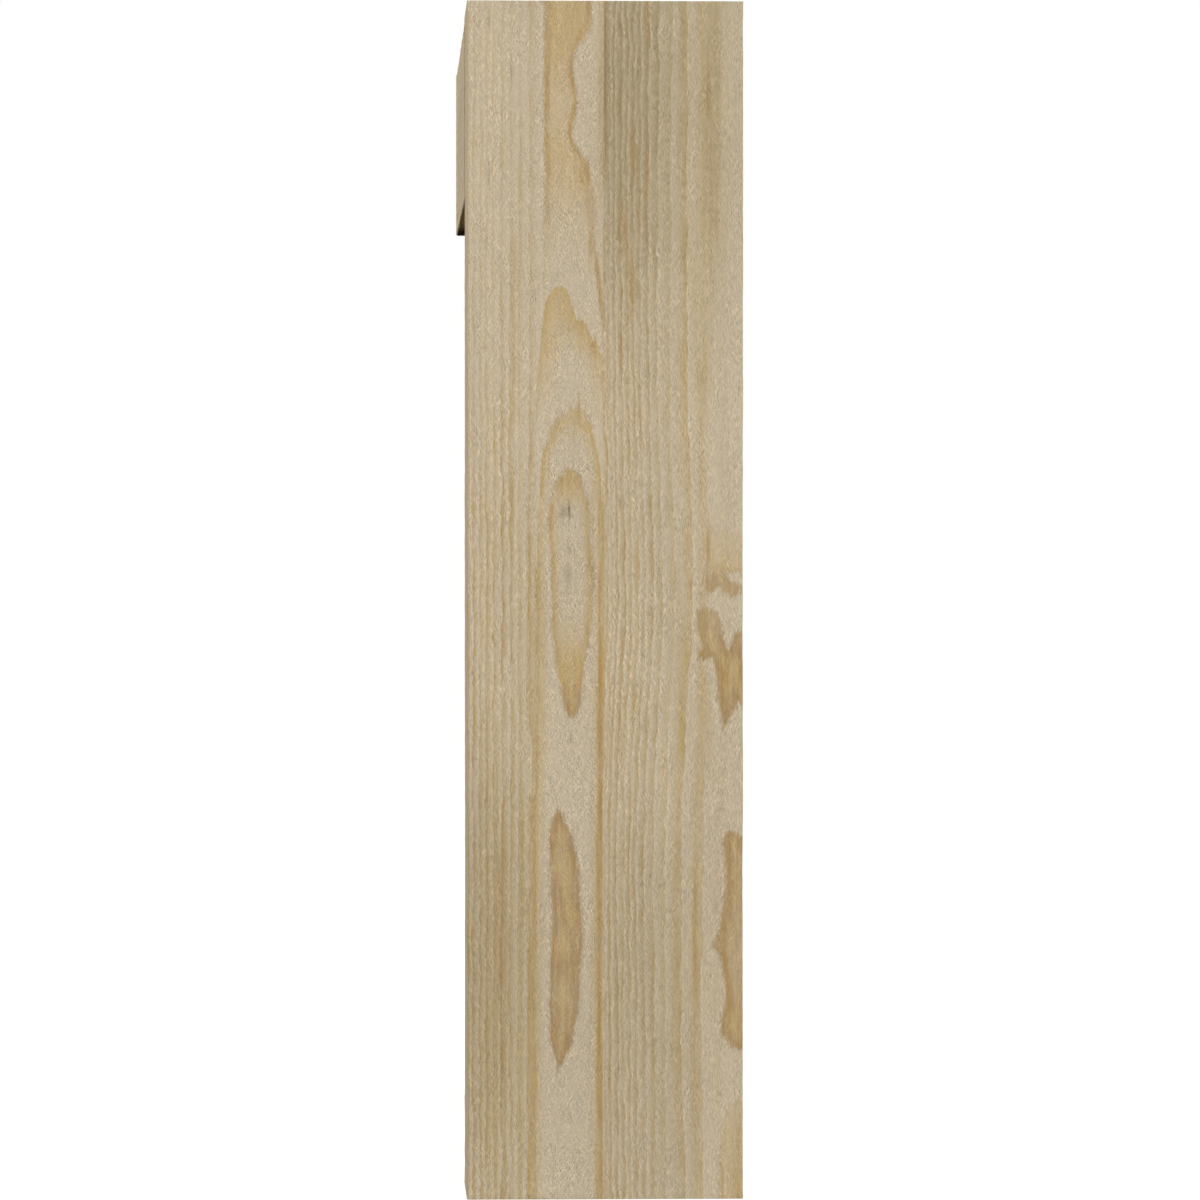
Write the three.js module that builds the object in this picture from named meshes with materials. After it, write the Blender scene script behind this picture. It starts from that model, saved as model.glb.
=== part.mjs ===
// A rough-sawn timber bracket: an upright post that is fixed to a wall, a level arm that leaves
// it at the top, and a diagonal brace between the two.
// Millimetres. X runs across the bracket, Y away from the wall, Z up. The origin is the centre
// of the post's back face, the face that lies on the wall.
import * as THREE from "three";

// Overall sizes
const bracketHeight = 660.4; // length of the post
const bracketProjection = 457.2; // wall to the arm's free end

// Sections of the sticks, sawn to full size. The post and the arm share one width, so that
// their sides lie flush.
const bracketWidth = 152.4;
const postDepth = 101.6;
const armDepth = 101.6;
const braceWidth = 101.6;
const braceDepth = 101.6;

// Where the brace's outer edge lands
const braceToArmEnd = 50.8;
const braceToPostFoot = 76.2;

// How the sticks meet, and how far the corners along their length have worn
const jointGap = 0.3;
const arris = 0.8;

// Levels and faces that the sticks share
const topLevel = bracketHeight / 2;
const footLevel = -bracketHeight / 2;
const armUnderside = topLevel - armDepth;
const armStart = postDepth + jointGap;

function sawnTimber(color) {
  return new THREE.MeshStandardMaterial({ color, roughness: 0.9, metalness: 0 });
}

// A stick's section: a rectangle about the stick's axis with its four corners worn.
function sawnSection(width, depth) {
  const x = width / 2;
  const y = depth / 2;
  return new THREE.Shape([
    new THREE.Vector2(x, -y + arris),
    new THREE.Vector2(x, y - arris),
    new THREE.Vector2(x - arris, y),
    new THREE.Vector2(-x + arris, y),
    new THREE.Vector2(-x, y - arris),
    new THREE.Vector2(-x, -y + arris),
    new THREE.Vector2(-x + arris, -y),
    new THREE.Vector2(x - arris, -y),
  ]);
}

// One stick, sawn to its section along its own Z, and cut to length. A cut that isn't square
// slopes: it moves along the stick by that share of the distance across the stick's depth.
// The lean turns the stick from upright towards +Y.
function stick({ name, width, depth, length, start, lean, startSlope = 0, endSlope = 0, color }) {
  const geometry = new THREE.ExtrudeGeometry(sawnSection(width, depth), {
    depth: length,
    bevelEnabled: false,
  });
  const corners = geometry.attributes.position;
  for (let i = 0; i < corners.count; i++) {
    const z = corners.getZ(i);
    const slope = z > length / 2 ? endSlope : startSlope;
    corners.setZ(i, z + corners.getY(i) * slope);
  }
  geometry.computeVertexNormals();
  const mesh = new THREE.Mesh(geometry, sawnTimber(color));
  mesh.name = name;
  mesh.position.copy(start);
  mesh.rotation.x = -lean;
  return mesh;
}

function makePost() {
  return stick({
    name: "wall_post",
    width: bracketWidth,
    depth: postDepth,
    length: bracketHeight,
    start: new THREE.Vector3(0, postDepth / 2, footLevel),
    lean: 0,
    color: "#beae90",
  });
}

function makeArm() {
  return stick({
    name: "top_arm",
    width: bracketWidth,
    depth: armDepth,
    length: bracketProjection - armStart,
    start: new THREE.Vector3(0, armStart, topLevel - armDepth / 2),
    lean: Math.PI / 2,
    color: "#bbab8c",
  });
}

// The brace's foot is cut plumb to seat on the post, and its head level to seat under the arm.
function makeBrace() {
  const seatY = postDepth + jointGap;
  const seatZ = armUnderside - jointGap;
  const outerReach = bracketProjection - braceToArmEnd - seatY;
  const outerDrop = seatZ - (footLevel + braceToPostFoot);
  const outerLength = Math.hypot(outerReach, outerDrop);
  const cornerToOuterEdge = (outerReach * outerDrop) / outerLength;
  const axisShare = 1 - braceDepth / 2 / cornerToOuterEdge;
  return stick({
    name: "knee_brace",
    width: braceWidth,
    depth: braceDepth,
    length: outerLength * axisShare,
    start: new THREE.Vector3(0, seatY, seatZ - outerDrop * axisShare),
    lean: Math.atan2(outerReach, outerDrop),
    startSlope: -outerDrop / outerReach,
    endSlope: outerReach / outerDrop,
    color: "#b8a787",
  });
}

const bracket = new THREE.Group();
bracket.add(makePost(), makeArm(), makeBrace());

export default bracket;
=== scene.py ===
import math

import bmesh
import bpy
import numpy as np
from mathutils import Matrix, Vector, noise


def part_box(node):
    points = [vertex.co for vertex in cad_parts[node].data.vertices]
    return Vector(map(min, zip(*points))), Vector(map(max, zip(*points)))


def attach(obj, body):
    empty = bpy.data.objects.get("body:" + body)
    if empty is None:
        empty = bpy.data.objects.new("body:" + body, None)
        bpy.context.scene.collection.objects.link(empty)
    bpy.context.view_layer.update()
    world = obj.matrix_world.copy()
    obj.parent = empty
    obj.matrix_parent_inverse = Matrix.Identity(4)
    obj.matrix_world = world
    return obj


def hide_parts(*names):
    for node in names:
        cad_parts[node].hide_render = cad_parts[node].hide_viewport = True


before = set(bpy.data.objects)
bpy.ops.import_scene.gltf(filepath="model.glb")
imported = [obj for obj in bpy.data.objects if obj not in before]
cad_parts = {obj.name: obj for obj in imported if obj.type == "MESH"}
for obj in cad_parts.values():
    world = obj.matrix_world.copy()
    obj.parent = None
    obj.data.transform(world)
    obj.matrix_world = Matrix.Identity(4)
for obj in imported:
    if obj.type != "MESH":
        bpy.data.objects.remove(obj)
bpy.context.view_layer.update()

# A rough-sawn timber bracket. Each stick is worked out along its own grain, in millimetres
# from its centre: across its width, through its depth and along its length.
mm = 0.001


def deselectAll():
    bpy.ops.object.select_all(action="DESELECT")


def softStep(low, high, value):
    share = np.clip((value - low) / (high - low), 0, 1)
    return share * share * (3 - 2 * share)


def smoothCurve(points, at):
    # a smooth line through given points, as a float curve draws it
    xs, ys = np.array(points, float).T
    slopes = np.gradient(ys, xs)
    i = np.clip(np.searchsorted(xs, at) - 1, 0, len(xs) - 2)
    gap = xs[i + 1] - xs[i]
    t = np.clip((at - xs[i]) / gap, 0, 1)
    return (
        ys[i] * (2 * t**3 - 3 * t**2 + 1)
        + ys[i + 1] * (3 * t**2 - 2 * t**3)
        + gap * slopes[i] * (t**3 - 2 * t**2 + t)
        + gap * slopes[i + 1] * (t**3 - t**2)
    )


def noiseAt(place, size, seed):
    # smooth noise with features of that size in mm along each axis. Each seed starts elsewhere,
    # and the gain brings the noise from about 0.6 to about 1 either way.
    apart = 17.31
    gain = 1.6
    spots = place / np.array(size) + seed * apart
    return np.array([noise.noise(spot) for spot in spots.tolist()]) * gain


# Camera, at the photograph's angle: level at the bracket's middle, a little to the left
cameraSetup = {
    "place": (-0.1246, -3.25, 0.0),
    "turnRight": 2.144,  # degrees, which puts the bracket where the photograph has it
    "lens": 177.1,
    "sensor": 36.0,
    "clipEnd": 100,
}


def addCamera():
    bpy.ops.object.camera_add(
        location=cameraSetup["place"],
        rotation=(math.pi / 2, 0, -math.radians(cameraSetup["turnRight"])),
    )
    camera = bpy.context.object
    camera.name = "photographCamera"
    camera.data.lens = cameraSetup["lens"]
    camera.data.sensor_width = cameraSetup["sensor"]
    camera.data.clip_end = cameraSetup["clipEnd"]
    bpy.context.scene.camera = camera


# Growth rings. The pith of the post runs inside it, 29 mm behind the wall face. Where the ring
# count is a whole number, a ring's hard late wood ends.
postRings = {
    "pith": (-21.5, -21.8),
    "growthRight": [  # mm from the pith, and rings
        (0, -6), (31.3, 3), (35.9, 4), (37.6, 5), (39.4, 6), (42, 7), (44.7, 8), (47.5, 9),
        (50.4, 10), (54, 11), (58.2, 12), (64, 13), (72.5, 14), (82.2, 15), (93, 16),
        (104, 17), (140, 20),
    ],
    "growthLeft": [
        (0, -6), (31.3, 3), (35.2, 4), (38.9, 5), (42.4, 6), (46.1, 7), (49.6, 8),
        (52.9, 9), (55.7, 10), (58.9, 11), (61.7, 12), (90, 22), (140, 38),
    ],
    "seed": 1.0,
}
armRings = {"pith": (24.0, 78.0), "growth": 4.2, "seed": 2.0}
braceRings = {"pith": (-9.0, -70.0), "growth": 3.6, "seed": 3.0}
ringWaver = {  # how far the rings stray, and over how many mm across, through and along
    "pith": 6,  # mm
    "pithSize": (1, 1, 150),
    "ring": 0.13,  # rings, as are the next two
    "ringSize": (16, 16, 120),
    "growth": 1.3,
    "growthSize": (70, 70, 190),
    "ripple": 0.2,
    "rippleSize": (6, 6, 17),
}
greySide = [  # where the greyer, slower-grown wood begins, as mm along and across
    (-330, -1.8), (-220, -2.8), (-138, -2.8), (-66, -0.6),
    (-5, 2.2), (44, 1.6), (110, 0.2), (330, 0.1),
]


def countRings(place, rings):
    across, depth, along = place.T
    seed = rings["seed"]
    if rings is postRings:
        wander = smoothCurve(greySide, along) * softStep(-30, 0, across)
    else:
        wander = ringWaver["pith"] * noiseAt(place * (0, 0, 1), ringWaver["pithSize"], seed + 5)
    u = across - rings["pith"][0] - wander
    radius = np.hypot(u, depth - rings["pith"][1])
    count = ringWaver["ring"] * noiseAt(place, ringWaver["ringSize"], seed)
    if "growth" in rings:
        count += radius / rings["growth"]
        return count + ringWaver["growth"] * noiseAt(place, ringWaver["growthSize"], seed + 2)
    right = softStep(-0.5, 0.5, u / np.maximum(radius, 1))
    count += right * smoothCurve(rings["growthRight"], radius)
    count += (1 - right) * smoothCurve(rings["growthLeft"], radius)
    return count


def ringsPerMm(place, normals, rings):
    # the ring count, and how fast it grows over the surface. Along the grain it counts threefold,
    # because a ring's edge wanders furthest that way.
    alongGain = 3
    slowest = 0.03
    count = countRings(place, rings)
    steps = np.diag((0.5, 0.5, 1.5))
    slopes = [(countRings(place + step, rings) - count) / step.sum() for step in steps]
    slope = np.stack(slopes, axis=1)
    slope -= (slope * normals).sum(axis=1, keepdims=True) * normals
    return count, np.maximum(np.linalg.norm(slope * (1, 1, alongGain), axis=1), slowest)


# Figures where the post's wall face runs along a ring, drawn in mm across and along. Late wood
# fills a rim inside each outline and, by the core's share, its middle. Shares change along the grain.
arches = [
    {"rim": [(95, 10), (130, 12), (150, 19), (168, 24)], "share": [(95, 0), (135, 1)], "outline": [
        (-39.5, 96), (-38.5, 110), (-37, 126), (-35.5, 143), (-34.5, 157), (-32.5, 165), (-30.5, 170),
        (-27, 172.5), (-22.5, 172.5), (-20.5, 170), (-19.5, 165), (-18, 160), (-16, 155), (-14, 153.5),
        (-11, 152.5), (-9.5, 149), (-8.5, 144), (-6, 143.5), (-4, 140.5), (-3, 136.5), (-1.5, 132),
        (-0.5, 124), (-0.5, 96)]},
    {"rim": 6.5, "share": [(-330, 0.7), (-120, 0.65), (0, 0.8), (60, 0.9), (84, 1)], "outline": [
        (-43, -336), (-41.5, -275), (-41, -198), (-39.5, -121), (-37.5, -66), (-38, 0), (-37, 44),
        (-35.5, 71.5), (-34.5, 80), (-32, 87), (-29.5, 93.5), (-27, 99), (-23.5, 103), (-18.5, 105),
        (-14.5, 105.5), (-11.5, 104), (-9.5, 100.5), (-8, 95.5), (-6, 89), (-4, 82.5), (-3, 74.5),
        (-1.5, 55), (-0.5, 22), (-0.5, -22), (-0.5, -88), (-1.5, -121), (-2, -165), (-2, -220),
        (-1.5, -275), (-1.5, -336)]},
]
figures = [
    {"rim": 5.5, "core": [(180, 0.3), (205, 0.35), (225, 0.55), (245, 0.62), (275, 0.4), (300, 0.78)],
     "brown": 0.12,
     "share": [(180, 0), (232, 1)], "outline": [
        (-33, 336), (-8.5, 336), (-8, 316), (-10.5, 310.5), (-15.5, 306), (-18, 301.5), (-19, 295.5),
        (-18, 288), (-16, 281), (-15.5, 276), (-16.5, 269.5), (-18.5, 262), (-18.5, 254.5),
        (-16.5, 249), (-13, 245.5), (-9.5, 240.5), (-8.5, 235.5), (-8.5, 220), (-8, 202), (-7, 186),
        (-11, 179), (-25, 179), (-33, 183)]},
    {"rim": 8, "core": [(80, 0.2), (96, 0.8)], "brown": 0.1,
     "share": [(80, 0), (97, 0.65)], "outline": [
        (-34.5, 80), (-32, 87), (-29.5, 93.5), (-27, 99), (-23.5, 103), (-18.5, 105), (-14.5, 105.5),
        (-11.5, 104), (-9.5, 100.5), (-8, 95.5), (-6, 89), (-4, 82.5), (-12, 79), (-27, 79)]},
    {"rim": 5.6, "core": [(-63, 1), (-34, 0.85), (-8, 0.1), (0, 0.02), (48, 0.02), (64, 0.9)],
     "brown": [(-64, 0.9), (-57, 0.75), (-50, 0), (74, 0)],
     "share": [(-64, 1), (74, 1)], "outline": [
        (-19, 73), (-23.5, 70.5), (-26.5, 65), (-30, 56), (-31, 44.5), (-30.5, 31), (-29.5, 15.5),
        (-29, -3), (-29, -16.5), (-27.5, -29.5), (-25.5, -41), (-24.5, -49), (-23.5, -56), (-22, -62),
        (-19, -65), (-15.5, -64), (-13.5, -58), (-13, -48), (-11.5, -34.5), (-9, -21), (-7.5, -3),
        (-7, 15.5), (-8.5, 31), (-9, 47), (-11, 58.5), (-14, 67)]},
    {"rim": 4, "core": [(-260, 1), (-225, 0.9), (-145, 0.9), (-115, 1)], "brown": 0.65,
     "share": [(-260, 1), (-115, 1)], "outline": [
        (-26, -115.5), (-29.5, -122.5), (-31, -132.5), (-30.5, -146), (-29.5, -166.5), (-29.5, -184.5),
        (-30, -205), (-30.5, -223), (-30.5, -236.5), (-29, -247.5), (-26, -259.5), (-22, -251),
        (-18, -241), (-15.5, -227.5), (-14, -207), (-12.5, -184.5), (-14, -164), (-15.5, -144),
        (-18, -132.5), (-21, -123.5)]},
    {"rim": 3, "core": [(0, 0.9), (16, 0.8)], "brown": 0.8,
     "share": [(0, 0.9), (16, 0.85)], "outline": [
        (55.5, 15.5), (60, 15), (64, 15.5), (68.5, 11), (74, 8.5), (79, 7.5), (79, 1.5), (73, 3.5),
        (68.5, 2), (65.5, 4.5), (62, 7.5), (60, 4.5), (56.5, 2), (55, 5.5)]},
    {"rim": 3, "core": [(-30, 1), (-12, 0.85)], "brown": 0.75,
     "share": [(-71, 1), (-30, 1), (-8, 0.85)], "outline": [
        (50.5, -6), (55.5, -5), (61, -7), (63, -12), (64, -18), (66, -25), (68.5, -27.5), (71, -22),
        (72.5, -17.5), (79, -14), (79, -55), (73, -58), (70.5, -61.5), (67.5, -68.5), (65.5, -71.5),
        (64, -63.5), (62.5, -55), (61.5, -44), (60.5, -36), (58, -32), (55.5, -33), (51.5, -33),
        (51.5, -30.5), (54.5, -25), (52, -20), (50.5, -14)]},
    {"rim": 3, "core": [(-246, 1), (-215, 0.7), (-165, 0.7), (-130, 1)], "brown": 0.72,
     "share": [(-247, 1), (-129, 1)], "outline": [
        (67, -127.5), (70.5, -129.5), (79, -129.5), (79, -246.5), (71.5, -247.5), (67.5, -243.5),
        (64, -239.5), (64, -231), (66.5, -223), (66.5, -212), (65.5, -203.5), (64, -195.5), (63, -192.5),
        (58.5, -192), (60.5, -187), (63, -184.5), (64, -173.5), (65.5, -165), (67, -158.5), (67, -148.5),
        (66, -140.5), (65, -133)]},
    {"rim": 9, "core": [(10, 0.75), (38, 0.5)], "brown": 0,
     "share": [(12, 0.95), (38, 0.3)], "outline": [
        (56.5, 40), (63, 38), (79, 36), (79, 14), (68, 16), (55.5, 17), (55.5, 28)]},
    {"rim": 6, "core": [(-336, 0.7), (-274, 0.5)], "brown": 0,
     "share": [(-336, 0.8), (-276, 0.5)], "outline": [
        (66, -286), (68.5, -278), (79, -274), (79, -336), (64, -336), (63.5, -314), (65, -297)]},
]
# Late wood seen as strokes along the grain. Each has its line, as mm along and across, then half
# its width in mm, and its strength.
goldStrokes = [
    ([(190, 58.5), (340, 59.5)], 4.6, 0.34),
    ([(110, 56), (215, 57.5)], 3.6, 0.28),
    ([(-345, -38.8), (-60, -38.4), (20, -37.4)], 1.5, 0.68),
    ([(-345, -35.8), (-60, -35), (20, -34.5)], 2.4, 0.2),
    ([(225, -2.6), (345, -2.6)], 1, 0.4),
    ([(95, -50.5), (200, -50.5)], 1.6, 0.45),
    ([(20, -51.5), (75, -51.5)], 1.2, 0.6),
    ([(-70, 40), (20, 40)], 2.6, 0.25),
    ([(-345, 49), (-150, 49.5), (-60, 52), (100, 52), (200, 46), (345, 45)], 2, 0.28),
    ([(-345, -42.5), (60, -42.5)], 1, 0.5),
    ([(-345, -47.6), (-120, -47), (40, -47)], 0.9, 0.35),
    ([(-300, -65), (40, -65)], 0.9, 0.4),
    ([(-345, -3.4), (-200, -4), (-60, -3.2), (0, -2.5), (60, -2)], 1.6, 0.8),
    ([(-345, -7.2), (-60, -6.6), (30, -6)], 2.2, 0.16),
    ([(-100, 57.5), (-36, 56.5)], 3.2, 0.3),
    ([(-345, -46.6), (-240, -46.2), (-110, -45.4)], 1.4, 0.5),
    ([(-345, -55.2), (-130, -54.6)], 0.9, 0.45),
    ([(-345, -59.8), (-60, -59.4)], 0.8, 0.4),
    ([(-345, -64), (-180, -63.4)], 0.8, 0.4),
    ([(150, -47.5), (262, -46)], 1, 0.4),
    ([(-345, 27.5), (-240, 28)], 1, 0.3),
    ([(-345, 72.5), (-290, 73.5)], 3.4, 0.6),
]
brownStrokes = [
    ([(-345, -2.2), (-200, -3), (-110, -2.8), (-30, -2.6)], 1, 0.75),
    ([(152, -1.2), (180, -4), (196, -6.2)], 1.3, 0.8),
    ([(240, 0.6), (345, 0.3)], 0.7, 0.6),
    ([(95, 0.4), (150, 0.8)], 0.7, 0.45),
    ([(233, 15.6), (256, 15.6)], 1.7, 0.6),
    ([(220, 23), (243, 22.4)], 1.4, 0.55),
    ([(192, 10.6), (215, 10.2)], 2.4, 0.55),
    ([(156, 14.4), (188, 14.8)], 2, 0.6),
    ([(134, 9), (150, 9.4)], 1.1, 0.5),
    ([(202, 18.4), (222, 18.4)], 0.8, 0.5),
    ([(312, 23.5), (345, 23.5)], 1.4, 0.55),
    ([(268, 56.6), (290, 56.8)], 1, 0.55),
    ([(20, 57.2), (42, 57.2)], 1.3, 0.6),
    ([(100, -14.5), (113, -14.2)], 1, 0.6),
    ([(136, -6.8), (145, -7)], 1.4, 0.7),
    ([(146, -12.6), (154, -13)], 1.8, 0.4),
    ([(228, -13.5), (238, -13)], 1.6, 0.6),
    ([(186, -8), (236, -10), (246, -14.5), (255, -19.2), (270, -17.4)], 1.4, 0.5),
    ([(262, -18.8), (276, -16.8), (295, -19.6), (306, -16.5), (316, -11.2), (345, -9.8)], 1.4, 0.55),
    ([(218, -31.8), (345, -32.2)], 1.2, 0.42),
    ([(-215, 49.5), (-150, 49.5)], 1.2, 0.6),
    ([(-240, 66.8), (-215, 68), (-190, 65.5), (-165, 67), (-135, 68)], 1.9, 0.6),
    ([(-60, 16), (-46, 16.4)], 1.2, 0.5),
    ([(-90, 8.4), (-62, 8.8)], 0.9, 0.5),
    ([(10, -7), (60, -7)], 0.8, 0.35),
    ([(-345, 1.8), (-30, 2.4)], 0.9, 0.25),
    ([(-215, -58), (-140, -57.2)], 1.6, 0.45),
]
smudges = [  # grey specks and stains: mm across and along, how far each reaches, and how dark
    ((-20, 49.5), (0.9, 4.2), 0.9),
    ((-23, 48.5), (2.6, 2.8), 0.4),
    ((-20.5, 13.8), (1.9, 7.5), 0.28),
    ((-20.5, 28), (1.9, 4.5), 0.16),
    ((-18.6, -76), (1, 3.5), 0.3),
    ((-64, 320), (0.8, 6), 0.35),
    ((-58.6, 309), (0.8, 5), 0.25),
    ((-52, 292), (0.8, 8), 0.3),
    ((-64.3, 234), (0.8, 7), 0.4),
    ((-28, 177), (2.4, 2.4), 0.16),
    ((8.4, 53), (1, 3), 0.4),
    ((61, -170), (1.2, 2.6), 0.3),
    ((0.3, 292), (0.8, 62), 0.5),
    ((0.5, 186), (0.7, 44), 0.16),
]
shades = [  # broad darker patches of dirt and weather
    ((14, 270), (24, 90), 0.7),
    ((66, 275), (20, 80), 0.35),
    ((59.5, 268), (6, 95), 0.95),
    ((-64, -205), (26, 110), 1.15),
    ((28, -215), (40, 80), 0.4),
    ((-45, -30), (24, 60), 0.2),
]
armSideShade = [  # painted shade on the arm's left side, in mm through its depth and along: a painted shadow beside the post, and a faint painted shade all over
    ((8, -177), (40, 7), 0.4),
    ((0, -60), (60, 240), 0.08),
]


def insideOutline(spots, outline):
    # how far inside a closed outline each spot lies, in mm, and below zero outside it
    corners = np.array(outline, float)
    nearest = np.full(len(spots), 99.0)
    inside = np.zeros(len(spots), bool)
    for a, b in zip(corners, np.roll(corners, -1, axis=0)):
        run = b - a
        share = np.clip((spots - a) @ run / (run @ run), 0, 1)
        nearest = np.minimum(nearest, np.linalg.norm(spots - a - share[:, None] * run, axis=1))
        crossed = (a[1] > spots[:, 1]) != (b[1] > spots[:, 1])
        inside ^= crossed & (spots[:, 0] < a[0] + run[0] * (spots[:, 1] - a[1]) / (run[1] or 1))
    return np.where(inside, nearest, -nearest)


def drawFigures(spots, drawn, wanted):
    # the depth inside the nearest figure's outline, how level that runs, and its wanted values
    values = {name: np.zeros(len(spots)) for name in ("level", *wanted)}
    depth = np.full(len(spots), -99.0)
    for figure in drawn:
        inside = insideOutline(spots, figure["outline"])
        above = insideOutline(spots + (0, 1), figure["outline"])
        nearer = inside > depth
        depth[nearer] = inside[nearer]
        values["level"][nearer] = np.abs(above - inside)[nearer]
        for name in wanted:
            value = figure[name]
            if isinstance(value, list):
                value = np.interp(spots[:, 1], *np.array(value, float).T)[nearer]
            values[name][nearer] = value
    return depth, values


def strokeShares(place, strokes, seed):
    # how strongly a stroke shows at each point. Strokes waver a little, and fade at their ends.
    waver = 0.4
    waverSize = (9, 9, 22)
    longestFade = 14
    across, _, along = place.T
    total = np.zeros(len(place))
    for number, (line, reach, strength) in enumerate(strokes):
        low, high = line[0][0], line[-1][0]
        soft = min(longestFade, (high - low) / 2)
        middle = smoothCurve(line, along) + waver * noiseAt(place, waverSize, seed + number)
        share = np.exp(-(((across - middle) / reach) ** 4))
        share *= softStep(low - soft, low + soft, along) * (1 - softStep(high - soft, high + soft, along))
        total = np.maximum(total, strength * share)
    return total


def markShares(place, marks):
    # how dark the darkest of the soft marks is at each point
    across, _, along = place.T
    total = np.zeros(len(place))
    for (x, z), (wide, tall), dark in marks:
        reach = np.hypot((across - x) / wide, (along - z) / tall)
        total = np.maximum(total, dark * np.exp(-(reach**3)))
    return total


# The sticks. Cells are how many times each side is cut, coarse cuts times fine cuts.
postTimber = {
    "name": "rough_sawn_post",
    "node": "wall_post",
    "slot": "post_timber",
    "stands": "upright",
    "rings": postRings,
    "cells": {"across": (8, 17), "depth": (6, 10), "along": (14, 14)},
}
armTimber = {
    "name": "rough_sawn_arm",
    "node": "top_arm",
    "slot": "arm_timber",
    "stands": "level",
    "rings": armRings,
    "cells": {"across": (8, 17), "depth": (9, 10), "along": (8, 10)},
}
braceTimber = {
    "name": "rough_sawn_brace",
    "node": "knee_brace",
    "slot": "brace_timber",
    "stands": "leaning",
    "rings": braceRings,
    "cells": {"across": (9, 10), "depth": (9, 10), "along": (9, 11)},
}
sawnSurface = {  # heights and distances in mm, and the size of what each is spread by
    "arris": 1.1,  # how far the saw left each corner rounded
    "crispEnd": 0.2,  # share of that at the cross-cut ends
    "lateWood": (0.35, 0.9),  # the share of a ring over which its hard late wood rises
    "lateEnds": (0.97, 1.0),
    "ridge": 0.14,  # how far that stands above the soft early wood
    "endRidge": 0.4,  # share of that on end grain
    "feltRise": 0.10,  # how far torn early wood stands around a figure
    "figureEdge": (-0.8, 0.8),
    "uneven": 0.14,
    "unevenSize": (60, 60, 150),
    "fuzz": 0.09,
    "fuzzSize": (2.6, 2.6, 9),
    "sawMark": 0.07,
    "sawPitch": 4.6,  # between the band saw's marks
    "sawLean": 0.08,
    "sawDrift": 3,
    "sawDriftSize": (90, 90, 60),
    "wornArris": 0.35,
    "wornShare": 0.35,  # the middle of how worn it is, how far that varies, and the most
    "wornVaries": 0.9,
    "wornMost": 1.4,
    "wornSize": (9, 9, 26),
    "wornEnds": (1, 8),
    "wornReach": (0.6, 3.2),
    "joint": 3,  # how near the ends and the corners the surface settles to the stick's full size
}
wallFace = {  # zones of the post's wall face: the mm over which each begins and ends, and its share
    "depth": (0.2, 1.6),
    "quiet": [  # where the rings hardly show
        {"left": (52, 58), "share": 0.8},
        {"right": (-36, -30), "foot": (60, 160), "share": 0.5},
    ],
    "felted": [  # where the torn fibres lie as a short felt
        {"left": (-37, -32), "right": (-5, -1), "share": 1.15},
        {"right": (-36, -30), "foot": (60, 140), "share": 0.5},
    ],
    "besideBand": {"left": (-56, -50), "right": (-35, -32), "foot": (150, 185), "share": 0.5},
    "leastFelt": 0.2,
    "quietCentre": {"left": -33.5, "wider": 5, "narrows": (80, 170), "right": (-2.4, -0.8)},
    "greyEdge": 0.6,
    "greyFadesRight": {"left": (38, 60), "share": 0.6},
    "greyEverywhere": 0.3,
    "greyTop": {"foot": (90, 230), "share": 0.7},
    "greyFoot": {"foot": (-150, -100), "share": 0.25},
}
otherFelt = 0.45  # felt on all the other faces


def layOut(timber):
    # the stick's size in metres, its centre, its lean from upright and its sloped ends
    low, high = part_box(timber["node"])
    size = high - low
    centre = (low + high) / 2
    if timber["stands"] == "upright":
        return {"size": (size.x, size.y, size.z), "centre": centre, "lean": 0, "slopes": (0, 0)}
    if timber["stands"] == "level":
        return {"size": (size.x, size.z, size.y), "centre": centre, "lean": math.pi / 2, "slopes": (0, 0)}
    reach, drop = size.y, size.z
    outer = math.hypot(reach, drop)
    axisShare = 1 - size.x / 2 / (reach * drop / outer)
    centre.y = low.y + reach * axisShare / 2
    centre.z = high.z - drop * axisShare / 2
    return {
        "size": (size.x, size.x, outer * axisShare),
        "centre": centre,
        "lean": math.atan2(reach, drop),
        "slopes": (-drop / reach, reach / drop),
    }


def cornersOf(piece):
    corners = np.empty(len(piece.data.vertices) * 3)
    piece.data.vertices.foreach_get("co", corners)
    return corners.reshape(-1, 3)


def cutAcross(piece, axis, cells, shortest):
    # cuts every edge that runs along that axis into so many cells, apart from the worn corners
    data = piece.data
    corners = cornersOf(piece)
    ends = np.empty(len(data.edges) * 2, int)
    data.edges.foreach_get("vertices", ends)
    run = np.abs(corners[ends[1::2]] - corners[ends[::2]])
    along = run[:, axis] > shortest * 1.01
    data.vertices.foreach_set("select", np.zeros(len(data.vertices), bool))
    data.polygons.foreach_set("select", np.zeros(len(data.polygons), bool))
    data.edges.foreach_set("select", along & (run.sum(axis=1) - run[:, axis] < shortest * 0.1))
    bpy.ops.object.mode_set(mode="EDIT")
    bpy.ops.mesh.subdivide(number_cuts=cells - 1)
    bpy.ops.object.mode_set(mode="OBJECT")


def sawStick(timber, layout):
    deselectAll()
    bpy.ops.mesh.primitive_cube_add(size=1, location=(0, 0, 0))
    piece = bpy.context.object
    piece.name = timber["name"]
    piece.scale = layout["size"]
    bpy.ops.object.transform_apply(location=False, rotation=False, scale=True)
    bpy.context.tool_settings.mesh_select_mode = (False, True, False)
    arris = sawnSurface["arris"] * mm
    bpy.ops.object.mode_set(mode="EDIT")
    bpy.ops.mesh.select_all(action="SELECT")
    bpy.ops.mesh.bevel(offset=arris, segments=2, affect="EDGES")
    bpy.ops.object.mode_set(mode="OBJECT")
    for cut in (0, 1):
        for axis, side in enumerate(("across", "depth", "along")):
            cutAcross(piece, axis, timber["cells"][side][cut], arris * 0.8)
    return piece


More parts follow.
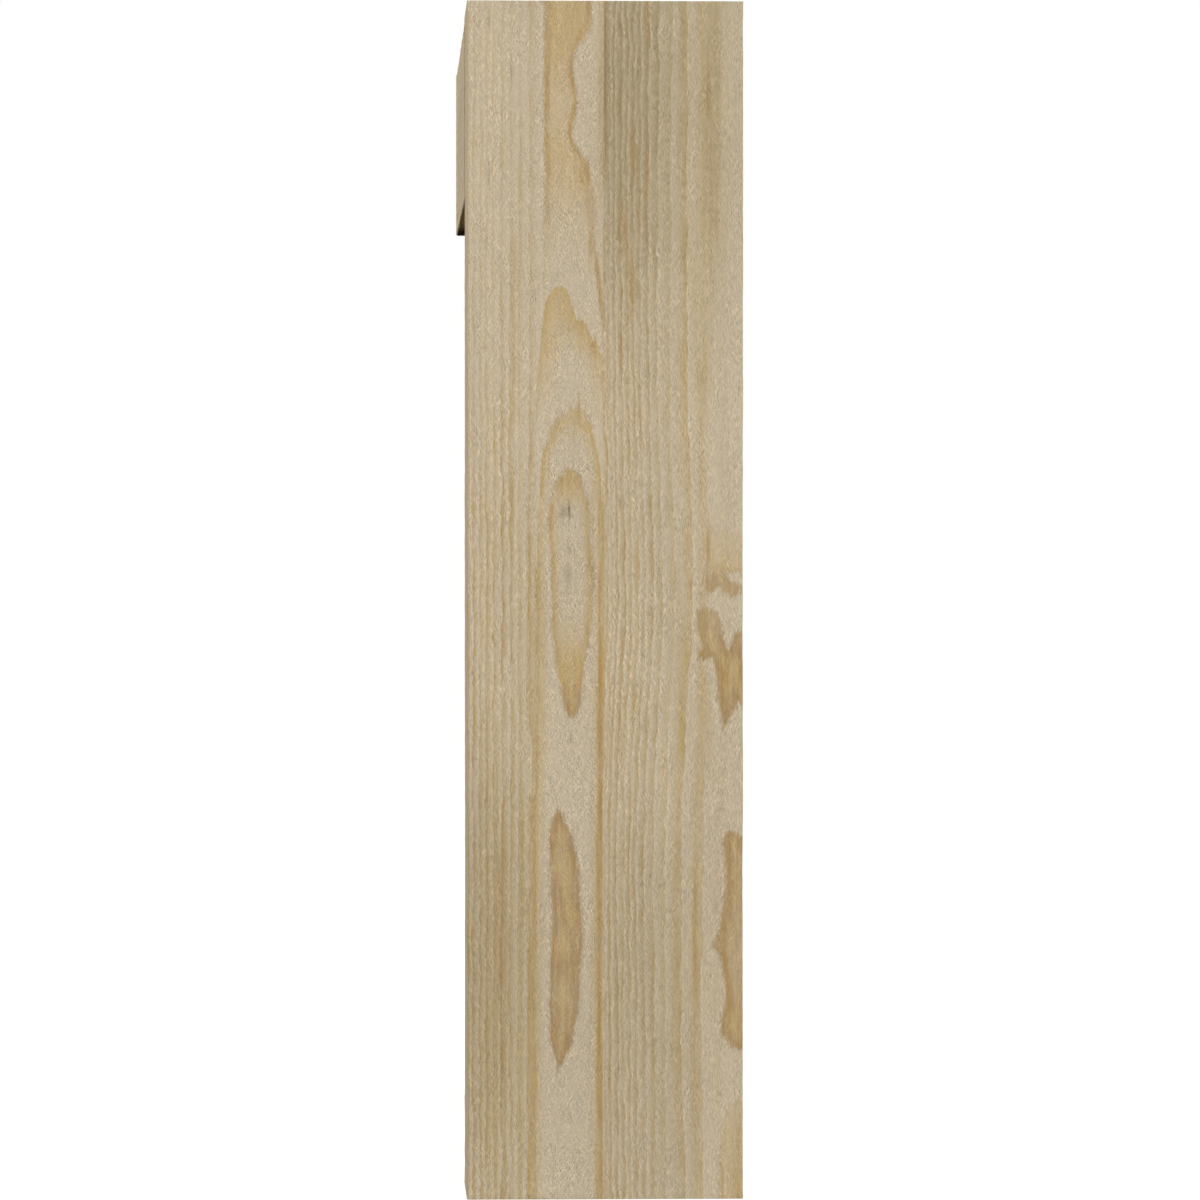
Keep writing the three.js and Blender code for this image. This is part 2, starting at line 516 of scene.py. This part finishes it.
def slopeEnds(piece, layout):
    # crisper corners at the two ends, which then slope as the joints ask
    corners = cornersOf(piece)
    half = layout["size"][2] / 2
    arris = sawnSurface["arris"] * mm
    toEnd = half - np.abs(corners[:, 2])
    rounded = toEnd < arris * 1.01
    kept = np.sign(corners[:, 2]) * (half - toEnd * sawnSurface["crispEnd"])
    corners[:, 2] = np.where(rounded, kept, corners[:, 2])
    share = corners[:, 2] / half / 2 + 0.5
    startSlope, endSlope = layout["slopes"]
    corners[:, 2] += corners[:, 1] * (startSlope * (1 - share) + endSlope * share)
    piece.data.vertices.foreach_set("co", corners.ravel())


def writeAttribute(piece, name, values):
    kind = "FLOAT_VECTOR" if values.ndim == 2 else "FLOAT"
    attribute = piece.data.attributes.new(name, kind, "POINT")
    attribute.data.foreach_set("vector" if values.ndim == 2 else "value", values.ravel())


def zoneShare(place, zone):
    # how far each point lies in a zone of the wall face
    across, _, along = place.T
    share = zone["share"] * softStep(*zone.get("left", (-999, -998)), across)
    share *= 1 - softStep(*zone.get("right", (998, 999)), across)
    return share * softStep(*zone.get("foot", (-999, -998)), along)


def describeWallFace(place, onFace):
    # the figures, strokes and marks, and how grey, quiet and felted the wood is around them
    across, _, along = place.T
    grain = {}
    face = np.flatnonzero(onFace > 0)
    spots = place[face][:, (0, 2)]
    drawn = [("arch", arches, ("rim", "share")), ("figure", figures, ("rim", "core", "brown", "share"))]
    for kind, outlines, wanted in drawn:
        inside, values = drawFigures(spots, outlines, wanted)
        values["depth"] = inside
        for name, value in values.items():
            full = np.full(len(place), -99.0 if name == "depth" else 0.0)
            full[face] = value
            grain[kind + name.capitalize()] = full
    grain["goldStroke"] = strokeShares(place, goldStrokes, 40) * onFace
    grain["brownStroke"] = strokeShares(place, brownStrokes, 60) * onFace
    grain["smudgeAndShade"] = markShares(place, smudges) * onFace
    grain["shade"] = markShares(place, shades) * onFace

    grey = softStep(-wallFace["greyEdge"], wallFace["greyEdge"], across - smoothCurve(greySide, along))
    grey *= 1 - zoneShare(place, wallFace["greyFadesRight"])
    top = zoneShare(place, wallFace["greyTop"])
    foot = wallFace["greyFoot"]["share"] - zoneShare(place, wallFace["greyFoot"])
    grain["greyWood"] = grey * (wallFace["greyEverywhere"] + top + foot)

    centre = wallFace["quietCentre"]
    left = centre["left"] - centre["wider"] * (1 - softStep(*centre["narrows"], along))
    quiet = zoneShare(place, {"left": (left - 1, left + 1), "right": centre["right"], "share": 1})
    for zone in wallFace["quiet"]:
        quiet = np.maximum(quiet, zoneShare(place, zone))
    grain["quietRings"] = quiet * onFace

    felted = np.zeros(len(place))
    for zone in wallFace["felted"]:
        felted = np.maximum(felted, zoneShare(place, zone))
    felted = np.maximum(felted + zoneShare(place, wallFace["besideBand"]), wallFace["leastFelt"])
    grain["tornFelt"] = otherFelt + (felted - otherFelt) * onFace
    return grain


def describeGrain(piece, timber, layout):
    # what the material and the relief read: the grain's own axes, the rings and the figures
    place = cornersOf(piece) / mm
    half = np.array(layout["size"]) / 2 / mm
    normals = np.empty(len(place) * 3)
    piece.data.vertices.foreach_get("normal", normals)
    normals = normals.reshape(-1, 3)
    rings = timber["rings"]
    count, pace = ringsPerMm(place, normals, rings)
    ripple = noiseAt(place, ringWaver["rippleSize"], rings["seed"] + 1)
    grain = {
        "grainPlace": place,
        "ringCount": count + np.minimum(0.5 * pace, ringWaver["ripple"]) * ripple,
        "ringPace": pace,
        "endGrain": softStep(0.45, 0.8, np.abs(normals[:, 2])),
        "tornFelt": np.full(len(place), otherFelt),
    }
    # on the arm the marks are painted shade: a painted shadow by the post and a faint painted shade over the
    # left side
    if timber["node"] == "top_arm":
        onLeft = place[:, 0] < 2 - half[0]
        grain["smudgeAndShade"] = markShares(place[:, (1, 0, 2)], armSideShade) * onLeft
    if timber["node"] == "wall_post":
        onFace = 1 - softStep(*wallFace["depth"], place[:, 1] + half[1])
        grain.update(describeWallFace(place, onFace))
    for name, values in grain.items():
        writeAttribute(piece, name, values)
    return half, grain


def reliefDepth(timber, half, grain):
    # how deep each point lies below the stick's full size, in mm
    surface = sawnSurface
    seed = timber["rings"]["seed"] * 10
    place = grain["grainPlace"]
    share = grain["ringCount"] % 1
    lateWood = softStep(*surface["lateWood"], share) * (1 - softStep(*surface["lateEnds"], share))
    ridges = (1 - lateWood) * (1 - (1 - surface["endRidge"]) * grain["endGrain"])
    depth = surface["ridge"] * ridges * (1 - grain.get("quietRings", 0))
    if "figureDepth" in grain:
        inFigure = softStep(*surface["figureEdge"], grain["figureDepth"]) * grain["figureShare"]
        depth += surface["feltRise"] * inFigure
    depth += surface["uneven"] * (0.5 + 0.5 * noiseAt(place, surface["unevenSize"], seed + 1))
    depth += surface["fuzz"] * (0.5 + 0.5 * noiseAt(place, surface["fuzzSize"], seed + 2))
    kerf = place[:, 2] + surface["sawLean"] * place[:, 0]
    kerf += surface["sawDrift"] * noiseAt(place, surface["sawDriftSize"], seed + 3)
    depth += surface["sawMark"] * (0.5 + 0.5 * np.sin(kerf * math.tau / surface["sawPitch"]))
    gaps = np.maximum(half - np.abs(place), 0)
    worn = surface["wornShare"] + surface["wornVaries"] * noiseAt(place, surface["wornSize"], seed + 4)
    worn = np.clip(worn, 0, surface["wornMost"]) * softStep(*surface["wornEnds"], gaps[:, 2])
    fromArris = np.maximum(gaps[:, 0], gaps[:, 1])
    depth += surface["wornArris"] * worn * (1 - softStep(*surface["wornReach"], fromArris))
    awayFromEnd = softStep(0, surface["joint"], gaps[:, 2])
    awayFromCorner = softStep(1, surface["joint"], np.minimum(gaps[:, 0], gaps[:, 1]))
    return np.maximum(depth, 0) * np.maximum(awayFromEnd, awayFromCorner)


def pressRelief(piece, depth):
    # presses the surface in by that depth, through a vertex group and a displace modifier
    deepest = depth.max()
    group = piece.vertex_groups.new(name="sawnRelief")
    shell = bmesh.new()
    shell.from_mesh(piece.data)
    weights = shell.verts.layers.deform.verify()
    for corner, share in zip(shell.verts, (depth / deepest).tolist()):
        corner[weights][group.index] = share
    shell.to_mesh(piece.data)
    shell.free()
    press = piece.modifiers.new("sawnRelief", "DISPLACE")
    press.vertex_group = group.name
    press.mid_level = 0
    press.strength = -deepest * mm
    bpy.context.view_layer.objects.active = piece
    bpy.ops.object.modifier_apply(modifier=press.name)
    piece.vertex_groups.clear()


def setInPlace(piece, layout):
    deselectAll()
    piece.select_set(True)
    bpy.context.view_layer.objects.active = piece
    piece.rotation_euler = (-layout["lean"], 0, 0)
    piece.location = layout["centre"]
    bpy.ops.object.transform_apply(location=True, rotation=True, scale=False)
    bpy.ops.object.shade_smooth()
    even = piece.modifiers.new("evenNormals", "WEIGHTED_NORMAL")
    bpy.ops.object.modifier_apply(modifier=even.name)


def addStick(timber):
    layout = layOut(timber)
    piece = sawStick(timber, layout)
    slopeEnds(piece, layout)
    half, grain = describeGrain(piece, timber, layout)
    pressRelief(piece, reliefDepth(timber, half, grain))
    setInPlace(piece, layout)
    piece.data.materials.append(sawnTimber(timber))
    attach(piece, "root")
    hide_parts(timber["node"])
    print(f"{timber['name']}: {len(piece.data.polygons)} faces")


# Materials

def linearColor(hexColor):
    parts = [int(hexColor[i : i + 2], 16) / 255 for i in (1, 3, 5)]
    return [c / 12.92 if c <= 0.04045 else ((c + 0.055) / 1.055) ** 2.4 for c in parts] + [1]


def addNode(tree, kind, inputs=(), output=None, **settings):
    # inputs are values or links, by name or in the sockets' order, and the output of that name,
    # or else the first, comes back
    node = tree.nodes.new("ShaderNode" + kind)
    for name, value in settings.items():
        setattr(node, name, value)
    sockets = [socket for socket in node.inputs if socket.enabled]
    if isinstance(inputs, dict):
        sockets = [node.inputs[name] for name in inputs]
        inputs = inputs.values()
    for socket, value in zip(sockets, inputs):
        if isinstance(value, bpy.types.NodeSocket):
            tree.links.new(value, socket)
        else:
            socket.default_value = value
    outputs = [socket for socket in node.outputs if socket.enabled and output in (None, socket.name)]
    return outputs[0] if outputs else node


timberColors = {
    "earlyWood": "#cebfa4",
    "lateWood": "#bb9f6e",
    "goldWood": "#c4a770",
    "oliveGold": "#b59a62",
    "paleRidge": "#dccdb3",
    "ringEdge": "#b38d54",
    "brownWood": "#ad8f61",
    "greyEarly": "#bfb094",
    "greyLate": "#a4916a",
    "greyEdge": "#927d55",
    "weather": "#e4e1d5",
    "fringe": "#a8967c",
    "smudgeAndShade": "#6b5a48",
    "endGrain": "#a98a5e",
}
timberFinish = {
    "roughness": 0.92,
    "ior": 1.45,
    "specular": 0.22,
    "bump": 0.9,
    "bumpDepth": 0.6,  # mm
    "endShare": 0.9,  # how far end grain hides the colour of the sides
    "endLate": (0.1, 1.0),  # how strongly it shows in early wood and in late wood
}


def drawPattern(tree, seed, pattern):
    # noise whose features have the pattern's size in mm across, through and along the stick. Of
    # two leans the stronger counts, and the noise's own range is stretched to what it gives.
    perMm = [1 / size for size in pattern["size"]]
    place = addNode(tree, "Attribute", (), "Vector", attribute_name="grainPlace")
    spots = [place]
    if "leans" in pattern:
        along = addNode(tree, "SeparateXYZ", (place,), "Z")
        sideways = addNode(tree, "CombineXYZ", (along,))
        spots = [
            addNode(tree, "VectorMath", (sideways, [lean] * 3, place), operation="MULTIPLY_ADD")
            for lean in pattern["leans"]
        ]
    fibres = []
    for spot in spots:
        spot = addNode(tree, "VectorMath", (spot, perMm), operation="MULTIPLY")
        inputs = (spot, seed, 1, pattern["detail"], pattern["rough"])
        fibres.append(addNode(tree, "TexNoise", inputs, noise_dimensions="4D"))
    strongest = fibres[0]
    if len(fibres) == 2:
        strongest = addNode(tree, "Math", fibres, operation="MAXIMUM")
    if "gives" not in pattern:
        return strongest
    return addNode(tree, "MapRange", (strongest, *pattern["noise"], *pattern["gives"]))


def layColor(tree, tone, color, *shares):
    # a colour laid over the tone where every share is high
    amount = shares[0]
    for share in shares[1:]:
        amount = addNode(tree, "Math", (amount, share), operation="MULTIPLY")
    return addNode(tree, "Mix", (amount, tone, color), data_type="RGBA")


ringPatterns = {
    "sway": {"size": (4.2, 4.2, 15), "detail": 3, "rough": 0.6, "noise": (0.25, 0.75), "gives": (-1, 1)},
    "fray": {"size": (0.8, 0.8, 3.2), "detail": 2, "rough": 0.5,
             "noise": (0.25, 0.75), "gives": (-0.4, 0.4)},
    "patchy": {"size": (4, 4, 30), "detail": 3, "rough": 0.6, "noise": (0.32, 0.66), "gives": (0.25, 1.1)},
    "edgePatchy": {"size": (3, 3, 12), "detail": 2, "rough": 0.5, "noise": (0.44, 0.64), "gives": (0, 1)},
    "tufts": {"size": (0.9, 0.9, 3.4), "leans": (0.45, -0.45), "detail": 1, "rough": 0.5,
              "noise": (0.54, 0.66), "gives": (0, 1)},
}
ringLook = {
    "strength": (0.4, 0.95),  # how strongly late wood shows, from ring to ring
    "golden": (0.25, 0.6),  # where a ring's random number takes it from brown to gold
    "lateWood": (0.34, 0.86),  # the share of a ring over which its late wood comes in
    "lateEnds": 0.6,  # mm past the ring's edge in which it ends
    "lineBefore": (0.2, 1.0),  # mm before the edge over which the dark line fades
    "lineAfter": 0.35,  # and mm past it
    "lineShare": (0.5, 0.28),  # the line's strength in yellow wood and in grey
    "greyLine": 0.8,
    "greyLate": 0.85,
    "ridgeBegins": (0.2, 0.8),  # mm past the edge, where soft early wood is torn up pale
    "ridgeEnds": (0.9, 2.2),
    "ridgeShare": (0.14, 0.6),  # its strength between tufts and on them
    "filled": 0.6,
}


def addRings(tree, seed, colors):
    # pale early wood turns to late wood over each ring and ends sharply, with a dark line at the
    # ring's edge and a pale ridge of torn fibres just past it
    look = ringLook
    names = ("ringCount", "ringPace", "quietRings", "greyWood")
    grain = {name: addNode(tree, "Attribute", (), "Fac", attribute_name=name) for name in names}
    pattern = {name: drawPattern(tree, seed, made) for name, made in ringPatterns.items()}
    pace = grain["ringPace"]
    grey = grain["greyWood"]
    loud = addNode(tree, "Math", (1, grain["quietRings"]), operation="SUBTRACT")

    # edges wander by up to a millimetre and fray along the fibres
    frayed = addNode(tree, "Math", (pattern["sway"], pattern["fray"]), operation="ADD")
    wander = addNode(tree, "Math", (frayed, pace), operation="MULTIPLY")
    count = addNode(tree, "Math", (grain["ringCount"], wander), operation="ADD")
    share = addNode(tree, "Math", (count,), operation="FRACT")
    rest = addNode(tree, "Math", (1, share), operation="SUBTRACT")
    pastEdge = addNode(tree, "Math", (share, pace), operation="DIVIDE")
    toEdge = addNode(tree, "Math", (rest, pace), operation="DIVIDE")

    # each ring has its own strength and gold, which change half a millimetre past its edge
    halfMm = addNode(tree, "Math", (pace, 0.5), operation="MULTIPLY")
    ring = addNode(tree, "Math", (count, halfMm), operation="SUBTRACT")
    ring = addNode(tree, "Math", (ring,), operation="FLOOR")
    strength = addNode(tree, "TexWhiteNoise", (ring,), noise_dimensions="1D")
    strength = addNode(tree, "MapRange", (strength, 0, 1, *look["strength"]))
    besideRing = addNode(tree, "Math", (ring, 0.37), operation="ADD")
    golden = addNode(tree, "TexWhiteNoise", (besideRing,), noise_dimensions="1D")
    golden = addNode(tree, "MapRange", (golden, *look["golden"]))

    comesIn = addNode(tree, "MapRange", (share, *look["lateWood"]))
    ends = addNode(tree, "MapRange", (pastEdge, 0, look["lateEnds"], 1, 0))
    lateShare = addNode(tree, "Math", (comesIn, ends), operation="MAXIMUM")
    late = lateShare
    for weaker in (strength, pattern["patchy"], loud):
        late = addNode(tree, "Math", (late, weaker), operation="MULTIPLY")

    early = layColor(tree, colors["earlyWood"], colors["greyEarly"], grey)
    ridge = addNode(tree, "MapRange", (pastEdge, *look["ridgeBegins"]))
    ridgeEnd = addNode(tree, "MapRange", (pastEdge, *look["ridgeEnds"], 1, 0))
    tufted = addNode(tree, "MapRange", (pattern["tufts"], 0, 1, *look["ridgeShare"]))
    early = layColor(tree, early, colors["paleRidge"], ridge, ridgeEnd, loud, pattern["patchy"], tufted)
    lateTone = layColor(tree, colors["lateWood"], colors["goldWood"], golden)
    lateTone = layColor(tree, lateTone, colors["greyLate"], grey, look["greyLate"])
    tone = layColor(tree, early, lateTone, late)

    before = addNode(tree, "MapRange", (toEdge, *look["lineBefore"], 1, 0))
    after = addNode(tree, "MapRange", (pastEdge, 0, look["lineAfter"], 1, 0))
    line = addNode(tree, "Math", (before, after), operation="MAXIMUM")
    lineShare = addNode(tree, "MapRange", (grey, 0, 1, *look["lineShare"]))
    lineTone = layColor(tree, colors["ringEdge"], colors["greyEdge"], grey, look["greyLine"])
    tone = layColor(tree, tone, lineTone, line, pattern["edgePatchy"], strength, loud, lineShare)
    filled = addNode(tree, "Math", (late, look["filled"]), operation="MULTIPLY")
    return {"tone": tone, "lateShare": lateShare, "filled": filled, "frayed": frayed, **pattern}


figurePatterns = {
    "streaky": {"size": (2.2, 2.2, 26), "detail": 3, "rough": 0.5, "noise": (0.32, 0.6), "gives": (0.6, 1)},
    "ends": {"size": (1, 1, 9), "detail": 3, "rough": 0.6, "noise": (0.25, 0.75), "gives": (-3.2, 3.2)},
    "stained": {"size": (3.2, 3.2, 14), "detail": 2, "rough": 0.5,
                "noise": (0.3, 0.7), "gives": (-0.45, 0.45)},
    "wear": {"size": (2, 2, 34), "detail": 2, "rough": 0.5, "noise": (0.35, 0.6), "gives": (0.4, 1.05)},
}
figureLook = {  # distances in mm inside the outline, and outside it below zero
    "arch": {"ends": 0.7, "fill": 0.9, "lineFades": (0.3, 2.2), "line": 0.5},
    "figure": {"ends": 1.0, "fill": 1.0, "lineFades": (0.4, 2.6), "line": 0.4},
    "begins": (-0.3, 0.4),
    "outside": (-0.3, 0.3),
    "tornFibres": {"reach": (-5.0, -1.5), "share": 0.55},
    "fringe": {"reach": (-2.2, -0.3), "share": (0.5, 0.1)},
    "brownInward": {"reach": (1.0, 6.0), "share": (0.2, -0.25)},
    "brown": (0.1, 0.8),
}


def frayOutline(tree, kind, wood, grain):
    # how far inside its frayed outline a point lies, in mm, and how much of its rim is there
    ends = addNode(tree, "Math", (wood["ends"], grain[kind + "Level"]), operation="MULTIPLY")
    ends = addNode(tree, "Math", (ends, figureLook[kind]["ends"]), operation="MULTIPLY")
    inside = addNode(tree, "Math", (grain[kind + "Depth"], wood["frayed"]), operation="ADD")
    inside = addNode(tree, "Math", (inside, ends), operation="ADD")
    rim = addNode(tree, "Math", (grain[kind + "Rim"], 0.1), operation="ADD")
    rim = addNode(tree, "Math", (inside, rim), operation="DIVIDE")
    rim = addNode(tree, "Math", (1, rim), operation="SUBTRACT")
    return inside, rim


def fillOutline(tree, kind, wood, grain, inside, body, color):
    # late wood inside an outline, with a dark line along it
    look = figureLook[kind]
    share = grain[kind + "Share"]
    fill = addNode(tree, "MapRange", (inside, *figureLook["begins"]))
    for weaker in (body, wood["streaky"], share):
        fill = addNode(tree, "Math", (fill, weaker), operation="MULTIPLY")
    line = addNode(tree, "MapRange", (inside, figureLook["begins"][0], look["lineFades"][0]))
    lineEnd = addNode(tree, "MapRange", (inside, *look["lineFades"], 1, 0))
    tone = layColor(tree, wood["tone"], color, fill, look["fill"])
    tone = layColor(tree, tone, wood["lineColor"], line, lineEnd, share, wood["edgePatchy"], look["line"])
    wood["tone"] = tone
    wood["filled"] = addNode(tree, "Math", (wood["filled"], fill), operation="MAXIMUM")


def addFigures(tree, seed, colors, wood):
    # where the wall face runs along a ring, that ring's late wood shows as a whole patch of gold
    # or brown, and torn fibres stand around it
    names = ["goldStroke", "brownStroke", "figureCore", "figureBrown"]
    names += [kind + value for kind in ("arch", "figure") for value in ("Depth", "Level", "Rim", "Share")]
    grain = {name: addNode(tree, "Attribute", (), "Fac", attribute_name=name) for name in names}
    wood.update({name: drawPattern(tree, seed, made) for name, made in figurePatterns.items()})
    wood["lineColor"] = colors["ringEdge"]

    inside, rim = frayOutline(tree, "arch", wood, grain)
    rim = addNode(tree, "Math", (rim, 0), operation="MAXIMUM")
    fillOutline(tree, "arch", wood, grain, inside, rim, colors["goldWood"])

    inside, rim = frayOutline(tree, "figure", wood, grain)
    body = addNode(tree, "Math", (rim, grain["figureCore"]), operation="MAXIMUM")
    outside = addNode(tree, "MapRange", (inside, *figureLook["outside"], 1, 0))
    beside = addNode(tree, "Math", (outside, grain["figureShare"]), operation="MULTIPLY")
    torn = figureLook["tornFibres"]
    reach = addNode(tree, "MapRange", (inside, *torn["reach"]))
    tone = layColor(tree, wood["tone"], colors["paleRidge"], reach, beside, wood["tufts"], torn["share"])
    fringe = figureLook["fringe"]
    reach = addNode(tree, "MapRange", (inside, *fringe["reach"]))
    betweenTufts = addNode(tree, "MapRange", (wood["tufts"], 0, 1, *fringe["share"]))
    wood["tone"] = layColor(tree, tone, colors["fringe"], reach, beside, betweenTufts)
    inward = figureLook["brownInward"]
    inward = addNode(tree, "MapRange", (inside, *inward["reach"], *inward["share"]))
    brown = addNode(tree, "Math", (grain["figureBrown"], wood["stained"]), operation="ADD")
    brown = addNode(tree, "Math", (brown, inward), operation="ADD")
    brown = addNode(tree, "MapRange", (brown, *figureLook["brown"]))
    color = layColor(tree, colors["goldWood"], colors["brownWood"], brown)
    fillOutline(tree, "figure", wood, grain, inside, body, color)

    tone = layColor(tree, wood["tone"], colors["oliveGold"], grain["goldStroke"], wood["wear"])
    wood["tone"] = layColor(tree, tone, colors["ringEdge"], grain["brownStroke"], wood["streaky"])


# A single fibre is about 0.04 mm thick, too fine to show, so they are drawn as bundles half a
# millimetre wide and more.
fibrePatterns = {
    "shortFelt": {"size": (0.62, 0.62, 1.4), "detail": 3, "rough": 0.75},
    "longFelt": {"size": (0.66, 0.66, 3.6), "detail": 3, "rough": 0.7},
    "hairs": {"size": (0.5, 0.5, 3.2), "leans": (0.5, -0.5), "detail": 1, "rough": 0.5},
    "streaks": {"size": (0.8, 0.8, 14), "detail": 3, "rough": 0.6,
                "noise": (0.3, 0.7), "gives": (0.955, 1.035)},
    "broad": {"size": (26, 26, 150), "detail": 2, "rough": 0.5, "noise": (0.3, 0.7), "gives": (0.965, 1.04)},
    "flecks": {"size": (1.3, 1.3, 7), "detail": 1, "rough": 0.5, "noise": (0.73, 0.8), "gives": (0, 1)},
    "patches": {"size": (8, 8, 16), "detail": 2, "rough": 0.5, "noise": (0.35, 0.65), "gives": (0.55, 1.3)},
    "pitShade": {"size": (0.7, 0.7, 2.4), "detail": 2, "rough": 0.6, "noise": (0.3, 0.44), "gives": (0.8, 1.02)},
}
fibreLook = {  # the noise's own range, and the light that it gives back
    "felt": (0.3, 0.7, 0.74, 1.2),
    "hairs": (0.5, 0.72, 0.93, 1.21),
    "onLateWood": 0.55,  # hard late wood tears less
    "shade": 0.8,
    "flecks": 0.5,
    "feltHeight": 0.8,
    "hairHeight": 0.5,
}


def tearFibres(tree, seed, colors, wood):
    # a felt of short ends and leaning hairs, painted as highlights on the hairs and painted shade in the
    # pits, streaks along the grain, and dirt in patches; gives back the colour and the fibres' height
    look = fibreLook
    names = ("tornFelt", "shade")
    grain = {name: addNode(tree, "Attribute", (), "Fac", attribute_name=name) for name in names}
    pattern = {name: drawPattern(tree, seed, made) for name, made in fibrePatterns.items()}
    hairs = pattern["hairs"]
    inputs = (grain["tornFelt"], 0, 1, pattern["longFelt"], pattern["shortFelt"])
    felt = addNode(tree, "MapRange", inputs)

    torn = addNode(tree, "MapRange", (felt, *look["felt"]))
    hairLight = addNode(tree, "MapRange", (hairs, *look["hairs"]))
    for part in (hairLight, pattern["pitShade"]):
        torn = addNode(tree, "Math", (torn, part), operation="MULTIPLY")
    torn = addNode(tree, "Math", (torn, 1), operation="SUBTRACT")
    felted = addNode(tree, "Math", (grain["tornFelt"], 1), operation="MAXIMUM")
    soft = addNode(tree, "MapRange", (wood["filled"], 0, 1, 1, look["onLateWood"]))
    for part in (pattern["patches"], felted, soft):
        torn = addNode(tree, "Math", (torn, part), operation="MULTIPLY")
    light = addNode(tree, "Math", (torn, 1), operation="ADD")
    for part in (pattern["streaks"], pattern["broad"]):
        light = addNode(tree, "Math", (light, part), operation="MULTIPLY")

    # the fibres' painted highlights and painted shade, with streaks and broad changes of tone, multiply the
    # colour
    tone = addNode(tree, "Mix", (1, wood["tone"], light), data_type="RGBA", blend_type="MULTIPLY")
    shade = addNode(tree, "Math", (grain["shade"], look["shade"]), operation="MULTIPLY")
    tone = addNode(tree, "Mix", (shade, tone, colors["weather"]), data_type="RGBA", blend_type="MULTIPLY")
    tone = layColor(tree, tone, colors["smudgeAndShade"], pattern["flecks"], look["flecks"])
    height = addNode(tree, "Math", (felt, look["feltHeight"]), operation="MULTIPLY")
    hairHeight = addNode(tree, "Math", (hairs, look["hairHeight"]), operation="MULTIPLY")
    return tone, addNode(tree, "Math", (height, hairHeight), operation="ADD")


def sawnTimber(timber):
    # Douglas fir straight from the band saw, never planed or oiled. To the eye it is matt, pale
    # and fuzzy with torn fibres, and its golden late wood ends sharply at each ring's outer edge.
    material = bpy.data.materials.new(timber["slot"] + "_fir")
    material.use_nodes = True
    tree = material.node_tree
    tree.nodes.clear()
    colors = {name: linearColor(value) for name, value in timberColors.items()}
    finish = timberFinish
    seed = timber["rings"]["seed"]
    wood = addRings(tree, seed, colors)
    if timber["node"] == "wall_post":
        addFigures(tree, seed, colors, wood)

    endGrain = addNode(tree, "Attribute", (), "Fac", attribute_name="endGrain")
    # grey specks and stains on the post, and painted shade on the arm's left side
    smudgeAndShade = addNode(tree, "Attribute", (), "Fac", attribute_name="smudgeAndShade")
    endLate = addNode(tree, "MapRange", (wood["lateShare"], 0, 1, *finish["endLate"]))
    endTone = layColor(tree, colors["earlyWood"], colors["endGrain"], endLate)
    tone = layColor(tree, wood["tone"], endTone, endGrain, finish["endShare"])
    wood["tone"] = layColor(tree, tone, colors["smudgeAndShade"], smudgeAndShade)
    tone, height = tearFibres(tree, seed, colors, wood)

    relief = {"Strength": finish["bump"], "Distance": finish["bumpDepth"] * mm, "Height": height}
    surface = {
        "Base Color": tone,
        "Roughness": finish["roughness"],
        "IOR": finish["ior"],
        "Specular IOR Level": finish["specular"],
        "Normal": addNode(tree, "Bump", relief),
    }
    addNode(tree, "OutputMaterial", {"Surface": addNode(tree, "BsdfPrincipled", surface)})
    return material


# Studio
studio = {
    "floorReach": 30.0,
    "floorGlow": 0.81,
    "floorColor": "#959595",
    "white": "#ffffff",
    "skyColor": "#fffdfa",
    "skyStrength": 0.77,
    "skyRise": 0.16,  # how high above the horizon the sky reaches its full strength
    "lights": [
        {"name": "frontSoftbox", "place": (1.4, -3.3, 1.0), "aim": (0, 0.1, 0), "size": 2.6, "power": 99},
        {"name": "leftSoftbox", "place": (-3.0, 0.4, 1.8), "aim": (0, 0.2, 0), "size": 2.0, "power": 60},
        {"name": "backSoftbox", "place": (1.6, 3.4, 1.8), "aim": (0, 0.2, 0), "size": 2.6, "power": 100},
    ],
}


def addFloor():
    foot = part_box("wall_post")[0].z
    deselectAll()
    bpy.ops.mesh.primitive_plane_add(size=studio["floorReach"], location=(0, 0, foot))
    floor = bpy.context.object
    floor.name = "paleFloor"
    floor.visible_diffuse = False
    floor.visible_glossy = False
    material = bpy.data.materials.new("paleFloor")
    material.use_nodes = True
    tree = material.node_tree
    tree.nodes.clear()
    glow = addNode(tree, "Emission", (linearColor(studio["white"]), studio["floorGlow"]))
    matt = addNode(tree, "BsdfDiffuse", {"Color": linearColor(studio["floorColor"])})
    addNode(tree, "OutputMaterial", {"Surface": addNode(tree, "AddShader", (glow, matt))})
    floor.data.materials.append(material)


def addSky():
    # soft light that grows from the horizon up, while the camera itself sees plain white
    world = bpy.data.worlds.new("paleStudio")
    bpy.context.scene.world = world
    world.use_nodes = True
    tree = world.node_tree
    tree.nodes.clear()
    direction = addNode(tree, "TexCoord", (), "Generated")
    height = addNode(tree, "SeparateXYZ", (direction,), "Z")
    strength = addNode(tree, "MapRange", (height, 0, studio["skyRise"], 0, studio["skyStrength"]))
    soft = addNode(tree, "Background", {"Color": linearColor(studio["skyColor"]), "Strength": strength})
    white = addNode(tree, "Background", {"Color": linearColor(studio["white"]), "Strength": 1})
    seen = addNode(tree, "LightPath", (), "Is Camera Ray")
    addNode(tree, "OutputWorld", {"Surface": addNode(tree, "MixShader", (seen, soft, white))})


def addLights():
    for light in studio["lights"]:
        bpy.ops.object.light_add(type="AREA", location=light["place"])
        lamp = bpy.context.object
        lamp.name = light["name"]
        lamp.data.size = light["size"]
        lamp.data.energy = light["power"]
        away = lamp.location - Vector(light["aim"])
        lamp.rotation_euler = away.to_track_quat("Z", "Y").to_euler()
    bpy.context.scene.view_settings.view_transform = "Standard"


addCamera()
print("camera set")
for timber in (postTimber, armTimber, braceTimber):
    addStick(timber)
print("timbers sawn")
addFloor()
addSky()
addLights()
print("studio lit")
